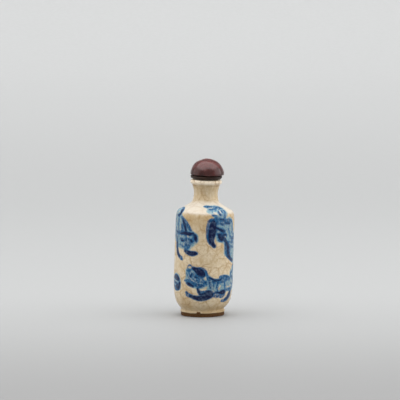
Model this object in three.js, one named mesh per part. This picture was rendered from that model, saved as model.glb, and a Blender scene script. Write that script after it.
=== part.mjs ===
// A small porcelain snuff bottle: a cylinder with a sloping shoulder, a waisted neck under a rolled lip,
// and a bare foot ring. Its stopper is a hardstone dome on a dark collar over a cork.
// The thrown body leans a little to one side above its foot, and the stopper leans with it.
// Millimetres, +Z up, the underside on z = 0 and the origin at the middle of the object's footprint.
import * as THREE from "three";

// Bottle, outside
const BOTTLE_HEIGHT = 70.3;
const BODY_RADIUS = 15.25;
const FOOT_RADIUS = 11.2;
const FOOT_RING_WIDTH = 1.9;
const FOOT_RING_EDGE = 0.25;
const BARE_FOOT_HEIGHT = 1.75;
const RECESS_DEPTH = 1.9;
const GLAZE_ROLL = 0.35;
const WAIST_HEIGHT = 3.1;
const WAIST_GROOVE = 0.08;
const BELLY_HEIGHT = 18.0;
const SHOULDER_DROP = 20.1;
const SHOULDER_TAPER = 0.15;
const SLOPE_DROP = 15.9;
const SLOPE_INSET = 1.35;
const SLOPE_SAG = 0.2;
const NECK_RADIUS = 6.15;
const NECK_ROOT_DROP = 12.5;
const NECK_ROOT_FLARE = 2.0;
const LIP_RADIUS = 8.2;
const LIP_HEIGHT = 2.3;

// Bottle, inside
const WALL = 2.8;
const FLOOR = 3.7;
const BORE_RADIUS = 3.4;
const BORE_RUN_IN = 1.1;
const MOUTH_ROUNDING = 0.6;
const FLOOR_CORNER = 5.0;

// How the thrown body leans, and between which heights it bends
const LEAN = THREE.MathUtils.degToRad(1.7);
const LEAN_START = 3.1;
const LEAN_END = 9.0;

// Stopper
const SEAT_GAP = 0.3;
const COLLAR_THICKNESS = 2.0;
const COLLAR_RIM = 1.0;
const COLLAR_EDGE = 0.3;
const COLLAR_UNDERCUT = 1.1;
const DOME_OVERHANG = 0.55;
const DOME_HEIGHT = 8.45;
const DOME_SKIRT = 0.4;
const DOME_TUCK = 0.25;
const DOME_OFFSET = 0.35;
const GLUE_LINE = 0.05;
const CORK_LENGTH = 7.5;
const CORK_CLEARANCE = 0.2;
const CORK_TAPER = 0.3;
const CORK_EDGE = 0.5;

// Curve handles, each a share of the way across and up the stretch that it shapes
const BELLY_TOE = [0.22, 0.1];
const BELLY_TOE_PULL = 0.04;
const BELLY_LOW_PULL = [0.77, 0.26];
const BELLY_HIGH_PULL = [0.94, 0.43];
const NECK_FOOT = [0.22, 0.2];
const NECK_FOOT_PULL = [0.35, 0.08];
const NECK_WAIST_TUCK = 0.08;
const NECK_WAIST_PULLS = [0.42, 0.62];
const NECK_THROAT = [0.36, 0.13];
const LIP_UNDER_PULL = [0.48, 0.03];
const LIP_UNDER = [0.7, 0.05];
const LIP_SIDE_PULL = 0.12;
const LIP_SIDE = 0.42;
const LIP_TOP = 0.5;

// How finely the round forms are cut into facets
const BOTTLE_SEGMENTS = 60;
const STOPPER_SEGMENTS = 48;
const CORK_SEGMENTS = 24;
const CURVE_STEPS = 4;
const DOME_STEPS = 10;

const glaze = new THREE.MeshStandardMaterial({ color: 0xd9c8a3, roughness: 0.18, metalness: 0 });
const hardstone = new THREE.MeshStandardMaterial({ color: 0x5e302d, roughness: 0.22, metalness: 0 });
const horn = new THREE.MeshStandardMaterial({ color: 0x1d1a19, roughness: 0.35, metalness: 0 });
const cork = new THREE.MeshStandardMaterial({ color: 0xa97c50, roughness: 0.9, metalness: 0 });

// A solid of revolution about +Z from a path of (radius, height) that runs upwards on the outside.
function turned(path, curveSteps, segments) {
  const geometry = new THREE.LatheGeometry(path.getPoints(curveSteps), segments);
  return geometry.rotateX(Math.PI / 2);
}

function named(name, geometry, material) {
  const mesh = new THREE.Mesh(geometry, material);
  mesh.name = name;
  return mesh;
}

// The sideways shift of the axis while it bends: the integral of a smooth step from no lean to the full lean.
function bendShift(share) {
  return LEAN * (LEAN_END - LEAN_START) * (share ** 3 - share ** 4 / 2);
}

// Where a point of the upright bottle lies once the body leans towards +X. Above the bend it is a plain turn.
function leaned(point) {
  const share = THREE.MathUtils.clamp((point.z - LEAN_START) / (LEAN_END - LEAN_START), 0, 1);
  const angle = LEAN * share * share * (3 - 2 * share);
  const above = Math.max(point.z - LEAN_END, 0);
  return new THREE.Vector3(point.x, point.y, above)
    .applyAxisAngle(new THREE.Vector3(0, 1, 0), angle)
    .add(new THREE.Vector3(bendShift(share), 0, point.z - above));
}

function leanAll(geometry) {
  const place = geometry.getAttribute("position");
  for (let i = 0; i < place.count; i += 1) {
    const p = leaned(new THREE.Vector3().fromBufferAttribute(place, i));
    place.setXYZ(i, p.x, p.y, p.z);
  }
  return geometry;
}

// The underside: a recessed base inside a flat ring, and the ring's bare outer wall.
function footOutline(path) {
  const ringInside = FOOT_RADIUS - FOOT_RING_WIDTH;
  path.moveTo(0, RECESS_DEPTH);
  path.lineTo(ringInside - FOOT_RING_EDGE, RECESS_DEPTH);
  path.lineTo(ringInside, FOOT_RING_EDGE);
  path.lineTo(ringInside + FOOT_RING_EDGE, 0);
  path.lineTo(FOOT_RADIUS - FOOT_RING_EDGE, 0);
  path.lineTo(FOOT_RADIUS, FOOT_RING_EDGE);
  path.lineTo(FOOT_RADIUS, BARE_FOOT_HEIGHT);
}

// From the glaze roll over the bare foot, through the waist, out over the belly to the full radius.
function bellyOutline(path) {
  const roll = FOOT_RADIUS + GLAZE_ROLL;
  const waist = FOOT_RADIUS - WAIST_GROOVE;
  const spread = BODY_RADIUS - waist;
  const rise = BELLY_HEIGHT - WAIST_HEIGHT;
  const lower = new THREE.Vector2(waist + BELLY_TOE[0] * spread, WAIST_HEIGHT + BELLY_TOE[1] * rise);
  path.quadraticCurveTo(roll + GLAZE_ROLL, (BARE_FOOT_HEIGHT + WAIST_HEIGHT) / 2, waist, WAIST_HEIGHT);
  path.quadraticCurveTo(waist, WAIST_HEIGHT + BELLY_TOE_PULL * rise, lower.x, lower.y);
  path.bezierCurveTo(
    waist + BELLY_LOW_PULL[0] * spread, WAIST_HEIGHT + BELLY_LOW_PULL[1] * rise,
    waist + BELLY_HIGH_PULL[0] * spread, WAIST_HEIGHT + BELLY_HIGH_PULL[1] * rise,
    BODY_RADIUS, BELLY_HEIGHT,
  );
}

// The upright side, the rounded corner and the sloping shoulder, to the root of the neck.
function shoulderOutline(path) {
  const cornerRadius = BODY_RADIUS - SHOULDER_TAPER;
  const cornerHeight = BOTTLE_HEIGHT - SHOULDER_DROP;
  const slopeHeight = BOTTLE_HEIGHT - SLOPE_DROP;
  const middle = (BELLY_HEIGHT + cornerHeight) / 2;
  path.quadraticCurveTo(BODY_RADIUS + SHOULDER_TAPER / 2, middle, cornerRadius, cornerHeight);
  path.quadraticCurveTo(
    cornerRadius - SHOULDER_TAPER, slopeHeight - SLOPE_INSET / 2,
    BODY_RADIUS - SLOPE_INSET, slopeHeight,
  );
  const rootHeight = BOTTLE_HEIGHT - NECK_ROOT_DROP;
  const rootRadius = NECK_RADIUS + NECK_ROOT_FLARE;
  path.quadraticCurveTo(
    (BODY_RADIUS - SLOPE_INSET + rootRadius) / 2, (slopeHeight + rootHeight) / 2 - SLOPE_SAG,
    rootRadius, rootHeight,
  );
}

// The waisted neck, flaring into the underside of the rolled lip, and the lip up to its flat top.
function neckOutline(path) {
  const root = BOTTLE_HEIGHT - NECK_ROOT_DROP;
  const lipUnder = BOTTLE_HEIGHT - LIP_HEIGHT;
  const neckLength = lipUnder - root;
  const lipSwell = LIP_RADIUS - NECK_RADIUS;
  const waist = NECK_RADIUS - NECK_WAIST_TUCK * NECK_ROOT_FLARE;
  path.quadraticCurveTo(
    NECK_RADIUS + NECK_FOOT_PULL[0] * NECK_ROOT_FLARE, root + NECK_FOOT_PULL[1] * neckLength,
    NECK_RADIUS + NECK_FOOT[0] * NECK_ROOT_FLARE, root + NECK_FOOT[1] * neckLength,
  );
  path.bezierCurveTo(
    waist, root + NECK_WAIST_PULLS[0] * neckLength,
    waist, root + NECK_WAIST_PULLS[1] * neckLength,
    NECK_RADIUS + NECK_THROAT[0] * lipSwell, lipUnder - NECK_THROAT[1] * neckLength,
  );
  path.quadraticCurveTo(
    NECK_RADIUS + LIP_UNDER_PULL[0] * lipSwell, lipUnder - LIP_UNDER_PULL[1] * neckLength,
    NECK_RADIUS + LIP_UNDER[0] * lipSwell, lipUnder + LIP_UNDER[1] * LIP_HEIGHT,
  );
  path.quadraticCurveTo(
    LIP_RADIUS, lipUnder + LIP_SIDE_PULL * LIP_HEIGHT,
    LIP_RADIUS, lipUnder + LIP_SIDE * LIP_HEIGHT,
  );
  path.quadraticCurveTo(
    LIP_RADIUS, BOTTLE_HEIGHT - LIP_SIDE_PULL * LIP_HEIGHT,
    NECK_RADIUS + LIP_TOP * lipSwell, BOTTLE_HEIGHT,
  );
}

// The mouth, the straight bore and the hollow inside, down to the floor and back to the axis.
function hollowOutline(path) {
  const inside = BODY_RADIUS - WALL;
  const floor = RECESS_DEPTH + FLOOR;
  const boreEnd = BOTTLE_HEIGHT - NECK_ROOT_DROP - BORE_RUN_IN;
  const ceiling = BOTTLE_HEIGHT - SHOULDER_DROP;
  path.lineTo(BORE_RADIUS + MOUTH_ROUNDING, BOTTLE_HEIGHT);
  path.quadraticCurveTo(BORE_RADIUS, BOTTLE_HEIGHT, BORE_RADIUS, BOTTLE_HEIGHT - MOUTH_ROUNDING);
  path.lineTo(BORE_RADIUS, boreEnd);
  path.bezierCurveTo(
    BORE_RADIUS, boreEnd - WALL / 2,
    inside, ceiling + WALL,
    inside, ceiling - WALL / 2,
  );
  path.lineTo(inside, (ceiling + floor) / 2);
  path.lineTo(inside, floor + FLOOR_CORNER);
  path.quadraticCurveTo(inside, floor, inside - FLOOR_CORNER, floor);
  path.lineTo(0, floor);
}

function bottle() {
  const outline = new THREE.Path();
  footOutline(outline);
  bellyOutline(outline);
  shoulderOutline(outline);
  neckOutline(outline);
  hollowOutline(outline);
  return named("bottle", leanAll(turned(outline, CURVE_STEPS, BOTTLE_SEGMENTS)), glaze);
}

// The dark disc under the dome, wide on top and cut back below to sit on the flat of the lip.
function collar() {
  const below = LIP_RADIUS - COLLAR_UNDERCUT;
  const outline = new THREE.Path();
  outline.moveTo(0, 0);
  outline.lineTo(below, 0);
  outline.quadraticCurveTo(
    LIP_RADIUS - COLLAR_EDGE, COLLAR_EDGE,
    LIP_RADIUS, COLLAR_THICKNESS - COLLAR_RIM,
  );
  outline.lineTo(LIP_RADIUS, COLLAR_THICKNESS - COLLAR_EDGE);
  outline.lineTo(LIP_RADIUS - COLLAR_EDGE, COLLAR_THICKNESS);
  outline.lineTo(0, COLLAR_THICKNESS);
  return named("stopper_collar", turned(outline, CURVE_STEPS, STOPPER_SEGMENTS), horn);
}

// A high dome on a short skirt that tucks in towards the collar, glued on a little off centre.
function dome() {
  const radius = LIP_RADIUS + DOME_OVERHANG;
  const rise = DOME_HEIGHT - DOME_SKIRT;
  const outline = new THREE.Path();
  outline.moveTo(0, 0);
  outline.lineTo(radius - DOME_TUCK, 0);
  for (let step = 0; step <= DOME_STEPS; step += 1) {
    const angle = (Math.PI / 2) * (step / DOME_STEPS);
    outline.lineTo(radius * Math.cos(angle), DOME_SKIRT + rise * Math.sin(angle));
  }
  const mesh = named("stopper_dome", turned(outline, 1, STOPPER_SEGMENTS), hardstone);
  mesh.position.set(DOME_OFFSET, 0, COLLAR_THICKNESS + GLUE_LINE);
  return mesh;
}

// The plug that holds the stopper in the bore, glued under the collar.
function corkPlug() {
  const radius = BORE_RADIUS - CORK_CLEARANCE;
  const outline = new THREE.Path();
  outline.moveTo(0, -GLUE_LINE - CORK_LENGTH);
  outline.lineTo(radius - CORK_TAPER - CORK_EDGE, -GLUE_LINE - CORK_LENGTH);
  outline.lineTo(radius - CORK_TAPER, CORK_EDGE - GLUE_LINE - CORK_LENGTH);
  outline.lineTo(radius, -GLUE_LINE);
  outline.lineTo(0, -GLUE_LINE);
  return named("stopper_cork", turned(outline, 1, CORK_SEGMENTS), cork);
}

// The stopper's own frame stands on the lip and turns with the leaning body.
function stopper() {
  const group = new THREE.Group();
  group.position.copy(leaned(new THREE.Vector3(0, 0, BOTTLE_HEIGHT + SEAT_GAP)));
  group.rotation.y = LEAN;
  group.add(collar(), dome(), corkPlug());
  return group;
}

const object = new THREE.Group();
object.add(bottle(), stopper());

// The lean carries the shoulder past the foot, so the object is centred by its footprint from above.
const span = new THREE.Box3().setFromObject(object, true);
const middle = span.getCenter(new THREE.Vector3());
object.position.set(-middle.x, -middle.y, 0);

export default object;
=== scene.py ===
import math

import bmesh
import bpy
import numpy as np
from mathutils import Matrix, Vector, noise


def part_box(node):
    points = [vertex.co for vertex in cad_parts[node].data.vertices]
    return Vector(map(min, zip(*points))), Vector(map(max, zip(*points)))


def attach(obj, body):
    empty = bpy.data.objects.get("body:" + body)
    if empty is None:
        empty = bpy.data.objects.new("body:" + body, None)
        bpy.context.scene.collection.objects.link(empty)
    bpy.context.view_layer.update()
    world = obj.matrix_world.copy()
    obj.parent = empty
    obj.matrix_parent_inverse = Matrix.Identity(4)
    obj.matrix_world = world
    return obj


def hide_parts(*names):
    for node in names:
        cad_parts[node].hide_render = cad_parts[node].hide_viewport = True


bl_info = {
    "name": "Snuff Bottle",
    "version": (1, 0, 0),
    "blender": (4, 5, 0),
    "location": "View3D > Sidebar > Snuff Bottle",
    "description": "Models a painted, crackle-glazed snuff bottle with its stone-topped stopper",
    "category": "Object",
}

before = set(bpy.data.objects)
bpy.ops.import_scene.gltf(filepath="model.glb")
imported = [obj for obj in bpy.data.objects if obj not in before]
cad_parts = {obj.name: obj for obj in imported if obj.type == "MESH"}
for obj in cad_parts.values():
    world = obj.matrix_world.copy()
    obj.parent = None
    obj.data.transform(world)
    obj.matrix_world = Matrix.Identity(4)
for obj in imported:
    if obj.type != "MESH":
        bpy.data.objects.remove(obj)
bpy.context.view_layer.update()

MM = 0.001
BODY = "root"

# Points nearer to each other than the first are merged. The second keeps a squared length above nought.
MERGE = 0.001 * MM
NO_LENGTH = 1e-9

# How near the ground, and how near the plane of the outline, a point of the solid counts as on it
ON_GROUND = 0.01 * MM
ON_OUTLINE = 0.005 * MM

# The bottle leans above its foot. The heights are where the lean starts and where it is complete.
LEAN = math.radians(1.7)
LEAN_START = 3.1 * MM
LEAN_END = 9.0 * MM

# The middle of the foot ring, which the body is turned about, from the lowest points of the solid.
FOOT_POINTS = [v.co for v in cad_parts["bottle"].data.vertices if v.co.z < ON_GROUND]
AXIS_X = (min(p.x for p in FOOT_POINTS) + max(p.x for p in FOOT_POINTS)) / 2

# Heights that part the mouldings of the foot and the lip from the painted body between them
PAINTED_FROM = 4.0 * MM
NECK_TOP = 66.5 * MM

# The hollow under the foot: its height, and the inner radius of the ring round it
RECESS_HEIGHT = 1.95 * MM
RECESS_RADIUS = 9.0 * MM

# Travel along the outline, in millimetres: where the glaze ends above the bare foot and inside the foot
# ring, and where the shoulder, the neck and the lip begin
GLAZE_LINE = 0.8
RECESS_LINE = -4.8
SHOULDER_FROM = 53.6
NECK_FROM = 64.0
LIP_FROM = 72.4

# A notch in the edge of the glaze, where bare clay shows: its place round the foot, half width and height
NOTCH_ACROSS = -2.7
NOTCH_HALF = 1.3
NOTCH_RISE = 0.9

# The stopper: how far each edge tucks in or stands clear, and how finely each piece is turned
DOME_SKIRT = 0.4 * MM
DOME_TUCK = 0.25 * MM
DOME_RINGS = 40
DOME_FOOT, DOME_TOP = (corner[2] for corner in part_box("stopper_dome"))
CORK_TAPER = 0.3 * MM
CORK_EDGE = 0.5 * MM
STOPPER_TURNS = 128
CORK_TURNS = 64

# The collar's outline from its underside up: how far it tucks in, and at what share of its thickness
COLLAR_OUTLINE = ((1.1 * MM, 0.0), (0.33 * MM, 0.2), (0.0, 0.5), (0.0, 0.7), (0.6 * MM, 1.0))

# The paper sweep and its greys from near the camera to far back, which paint the falloff of the light, and
# the point the camera is aimed at
SWEEP_WIDTH = 6.0
SWEEP_BACK = 2.0
SWEEP_HEIGHT = 1.4
SWEEP_CURVE = 0.8
SWEEP_CURVE_STEPS = 24
PAPER_NEAR, PAPER_MIDDLE, PAPER_FAR, PAPER_FIBRES = 0x8B8B8B, 0xA5A6A6, 0xC8C9C9, 0x8C8B88
SURROUND = 0xF4F4F4
PICTURE_X = -2.1 * MM
PICTURE_Z = 59.5 * MM
FURTHEST_SEEN = 20.0

# The share of the mean side light that each side gets
LEFT_SHARE = 0.65
RIGHT_SHARE = 1.35

# How finely the bottle is turned: steps round it, and steps along its outline where it is painted, where
# its mouldings are small, and inside and underneath, where nothing shows
TURNS = 360
PAINTED_STEP = 0.36 * MM
MOULDED_STEP = 0.2 * MM
HIDDEN_STEP = 1.5 * MM
FINE_CURVE = 48

# Edges sharper than the first angle are corners. Faces that meet at less than the second shade smooth.
SHARP_CORNER = math.radians(30)
SMOOTH_SHADED = math.radians(50)

# The painting, in millimetres: the body's radius and half the way round it, how far off a stroke is still
# felt, and how many steps its curve takes from one point to the next
PAINTED_RADIUS = 15.25
HALF_ROUND = PAINTED_RADIUS * math.pi
FAR = 2.0
ROUTE_STEPS = 5

# The colour sockets of a Mix node go by number, because they share their names with others of its sockets
MIX_AMOUNT, MIX_BELOW, MIX_ABOVE, MIX_COLOUR = 0, 6, 7, 2

# How rough the glaze and the bare clay of the foot are
GLAZE_ROUGHNESS = 0.24
CLAY_ROUGHNESS = 0.85


def linear(hex_colour):
    """An sRGB colour such as 0xd9c8a3 as linear red, green and blue, and full alpha."""
    channels = [((hex_colour >> shift) & 255) / 255 for shift in (16, 8, 0)]
    return [c / 12.92 if c <= 0.04045 else ((c + 0.055) / 1.055) ** 2.4 for c in channels] + [1.0]


def colour_setting(name, description, hex_colour):
    """A colour that can be changed in the sidebar."""
    return bpy.props.FloatVectorProperty(
        name=name, description=description, subtype="COLOR", size=4, default=linear(hex_colour),
    )


class SnuffBottleGlaze(bpy.types.PropertyGroup):
    """The glaze, its crackle and the bare foot."""

    cream: colour_setting("Glaze", "The ivory glaze between the painting", 0xDFCFB2)
    # Partly glaze with little stain, partly a painted highlight where the shoulder faces the top light
    clean: colour_setting("Clean glaze", "The paler glaze of the shoulder, with little stain", 0xCEC6B9)
    # Partly glaze, partly a painted highlight on the top of the lip
    rim: colour_setting("Rim glaze", "The palest glaze, thick on the rolled lip", 0xEDE0CB)
    stain: colour_setting("Stain", "Where tea-brown stain has soaked in", 0xB08F58)
    # This colour also paints the dark line under the lip, which is painted shade with some stain
    crackle: colour_setting("Crackle", "The stained hairlines of the crackle", 0x94683A)
    cell_mm: bpy.props.FloatProperty(
        name="Crackle size", description="Width of a crackle cell in millimetres", default=3.6, min=1.0,
    )
    foot: colour_setting("Bare foot", "The iron-brown fired clay of the foot ring", 0x785430)
    grit: colour_setting("Foot grit", "The dark grit in the bare clay", 0x3C2412)


class SnuffBottleCobalt(bpy.types.PropertyGroup):
    """The cobalt blues of the painting."""

    pale: colour_setting("Pale wash", "Thin cobalt wash", 0x7A9FAA)
    middle: colour_setting("Middle blue", "Cobalt laid on twice", 0x225D8A)
    deep: colour_setting("Deep blue", "Cobalt where it pooled", 0x04133C)


class SnuffBottleStopper(bpy.types.PropertyGroup):
    """The stone dome, the horn collar and the cork."""

    stone: colour_setting("Stone", "The deep maroon of the stone", 0x371613)
    # This colour also paints the paler crown, which is painted top light
    cloud_and_top_light: colour_setting("Stone clouds", "The red-brown of its mottling and its crown", 0x5E2420)
    vein: colour_setting("Stone veins", "The fine dark veins", 0x1E0C0C)
    horn: colour_setting("Horn", "The near-black horn", 0x2A1C16)
    streak: colour_setting("Horn streaks", "The faint brown streaks in the horn", 0x4A3325)
    cork: colour_setting("Cork", "The darker grain of the cork", 0x8A6138)
    tan: colour_setting("Cork tan", "The paler grain of the cork", 0xC79B69)
    pit: colour_setting("Cork pits", "The small dark pits", 0x4A2F18)


class SnuffBottleStudio(bpy.types.PropertyGroup):
    """The camera and the soft lights."""

    elevation: bpy.props.FloatProperty(
        name="Camera height", description="Angle of the camera above the horizon", subtype="ANGLE",
        default=math.radians(6.7),
    )
    distance: bpy.props.FloatProperty(
        name="Camera distance", description="From the camera to what it is aimed at", unit="LENGTH",
        default=2.5,
    )
    field: bpy.props.FloatProperty(
        name="Field width", description="Width of what the picture shows at the bottle", unit="LENGTH",
        default=0.206,
    )
    top_power: bpy.props.FloatProperty(
        name="Top light", description="Power of the softbox overhead", unit="POWER", default=30.6,
    )
    back_power: bpy.props.FloatProperty(
        name="Back light", description="Power of the softbox over the backdrop", unit="POWER", default=22.8,
    )
    side_power: bpy.props.FloatProperty(
        name="Side lights", description="Mean power of the two side softboxes", unit="POWER", default=3.7,
    )
    surround: bpy.props.FloatProperty(
        name="Surround", description="Strength of the dim pale surround", default=0.52,
    )


def only(obj):
    """Makes obj the one selected and active object, in object mode."""
    if bpy.context.object and bpy.context.object.mode != "OBJECT":
        bpy.ops.object.mode_set(mode="OBJECT")
    bpy.ops.object.select_all(action="DESELECT")
    obj.select_set(True)
    bpy.context.view_layer.objects.active = obj


def edit(obj):
    """Opens obj in edit mode with nothing selected, and returns its editable mesh."""
    only(obj)
    bpy.ops.object.mode_set(mode="EDIT")
    bpy.ops.mesh.select_mode(type="VERT")
    bpy.ops.mesh.select_all(action="DESELECT")
    return bmesh.from_edit_mesh(obj.data)


def coordinates(obj):
    """The mesh's points as an array of rows."""
    flat = np.zeros(len(obj.data.vertices) * 3, np.float32)
    obj.data.vertices.foreach_get("co", flat)
    return flat.reshape(-1, 3).astype(float)


def set_coordinates(obj, points):
    """Moves the mesh's points to the rows of an array."""
    obj.data.vertices.foreach_set("co", points.astype(np.float32).ravel())
    obj.data.update()


def lean_at(height):
    """The lean at a height, or at many: its angle, where the axis is, and how far above the bend."""
    share = np.clip((height - LEAN_START) / (LEAN_END - LEAN_START), 0, 1)
    angle = LEAN * share**2 * (3 - 2 * share)
    axis = AXIS_X + LEAN * (LEAN_END - LEAN_START) * (share**3 - share**4 / 2)
    return angle, axis, np.maximum(height - LEAN_END, 0)


def lean_over(obj):
    """Leans an upright piece with the thrown body, and moves its axis to the middle of the foot."""
    x, y, z = coordinates(obj).T
    angle, axis, above = lean_at(z)
    leaned_x = axis + x * np.cos(angle) + above * np.sin(angle)
    leaned_z = z - above + above * np.cos(angle) - x * np.sin(angle)
    set_coordinates(obj, np.stack([leaned_x, y, leaned_z], axis=1))


def keep_meridian(obj):
    """Deletes all but the outline on the front of the turned solid, and stands that outline upright."""
    shape = edit(obj)
    bpy.ops.mesh.select_all(action="SELECT")
    bpy.ops.mesh.remove_doubles(threshold=MERGE)
    bpy.ops.mesh.select_all(action="DESELECT")
    for v in shape.verts:
        _, axis, above = lean_at(v.co.z)
        off_axis = abs(v.co.x - axis - above * math.tan(LEAN))
        if off_axis > ON_OUTLINE or v.co.y > ON_OUTLINE:
            v.select_set(True)
        else:
            v.co = (0, v.co.y, v.co.z - above + above / math.cos(LEAN))
    shape.select_flush(True)
    bmesh.update_edit_mesh(obj.data)
    bpy.ops.mesh.delete(type="VERT")
    bpy.ops.object.mode_set(mode="OBJECT")


def smooth_outline(obj):
    """Runs a smooth curve through the outline's points, with its true corners kept sharp."""
    only(obj)
    bpy.ops.object.convert(target="CURVE")
    bpy.ops.object.mode_set(mode="EDIT")
    bpy.ops.curve.select_all(action="SELECT")
    if obj.data.splines[0].points[0].co.z > obj.data.splines[0].points[-1].co.z:
        bpy.ops.curve.switch_direction()
    bpy.ops.curve.spline_type_set(type="BEZIER")
    bpy.ops.curve.handle_type_set(type="AUTOMATIC")
    knots = obj.data.splines[0].bezier_points
    for before, knot, after in zip(knots[:-2], knots[1:-1], knots[2:]):
        if (knot.co - before.co).angle(after.co - knot.co) > SHARP_CORNER:
            knot.handle_left_type = knot.handle_right_type = "VECTOR"
    rim = max(range(len(knots)), key=lambda i: knots[i].co.z)
    for end in (knots[0], *list(knots)[rim + 1:]):
        end.handle_left_type = end.handle_right_type = "VECTOR"
    bpy.ops.object.mode_set(mode="OBJECT")
    obj.data.resolution_u = FINE_CURVE
    bpy.ops.object.convert(target="MESH")


def thin_outline(obj):
    """Drops points of the over-fine outline wherever a longer step is enough, and keeps its corners.

    Each point kept holds its travel: how far along the outside it lies, matched to its height half way up.
    """
    points = coordinates(obj)
    steps = np.linalg.norm(np.diff(points, axis=0), axis=1)
    travel = np.concatenate([[0], np.cumsum(steps)])
    mouth = int(np.argmax(points[:, 2]))
    half_way = int(np.argmin(abs(points[:mouth, 2] - points[mouth, 2] / 2)))
    travel += points[half_way, 2] - travel[half_way]
    ways = np.diff(points, axis=0) / steps[:, None]
    turn = np.arccos(np.clip((ways[:-1] * ways[1:]).sum(axis=1), -1, 1))
    corners = set(np.flatnonzero(turn > SHARP_CORNER / 2) + 1)
    kept = {0, len(points) - 1} | corners
    last = 0
    for i, (_, y, z) in enumerate(points):
        hidden = i > mouth or z < RECESS_HEIGHT and -y < RECESS_RADIUS
        moulded = z < PAINTED_FROM or z > NECK_TOP
        step = HIDDEN_STEP if hidden else MOULDED_STEP if moulded else PAINTED_STEP
        if i in corners or travel[i] - travel[last] >= step:
            kept.add(i)
            last = i
    layer = obj.data.attributes.new("travel", "FLOAT", "POINT")
    layer.data.foreach_set("value", (travel / MM).astype(np.float32))
    shape = edit(obj)
    for v in shape.verts:
        v.select_set(v.index not in kept)
    shape.select_flush(True)
    bpy.ops.mesh.dissolve_verts()
    bpy.ops.object.mode_set(mode="OBJECT")


def turn_outline(obj):
    """Turns the outline once round the axis, closes the seam and the poles, and points the faces out."""
    only(obj)
    lathe = obj.modifiers.new("Lathe", "SCREW")
    lathe.axis = "Z"
    lathe.steps = lathe.render_steps = TURNS
    lathe.use_merge_vertices = True
    lathe.merge_threshold = MERGE
    bpy.ops.object.modifier_apply(modifier=lathe.name)
    edit(obj)
    bpy.ops.mesh.select_all(action="SELECT")
    bpy.ops.mesh.remove_doubles(threshold=MERGE)
    bpy.ops.mesh.normals_make_consistent(inside=False)
    bpy.ops.object.mode_set(mode="OBJECT")


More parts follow.
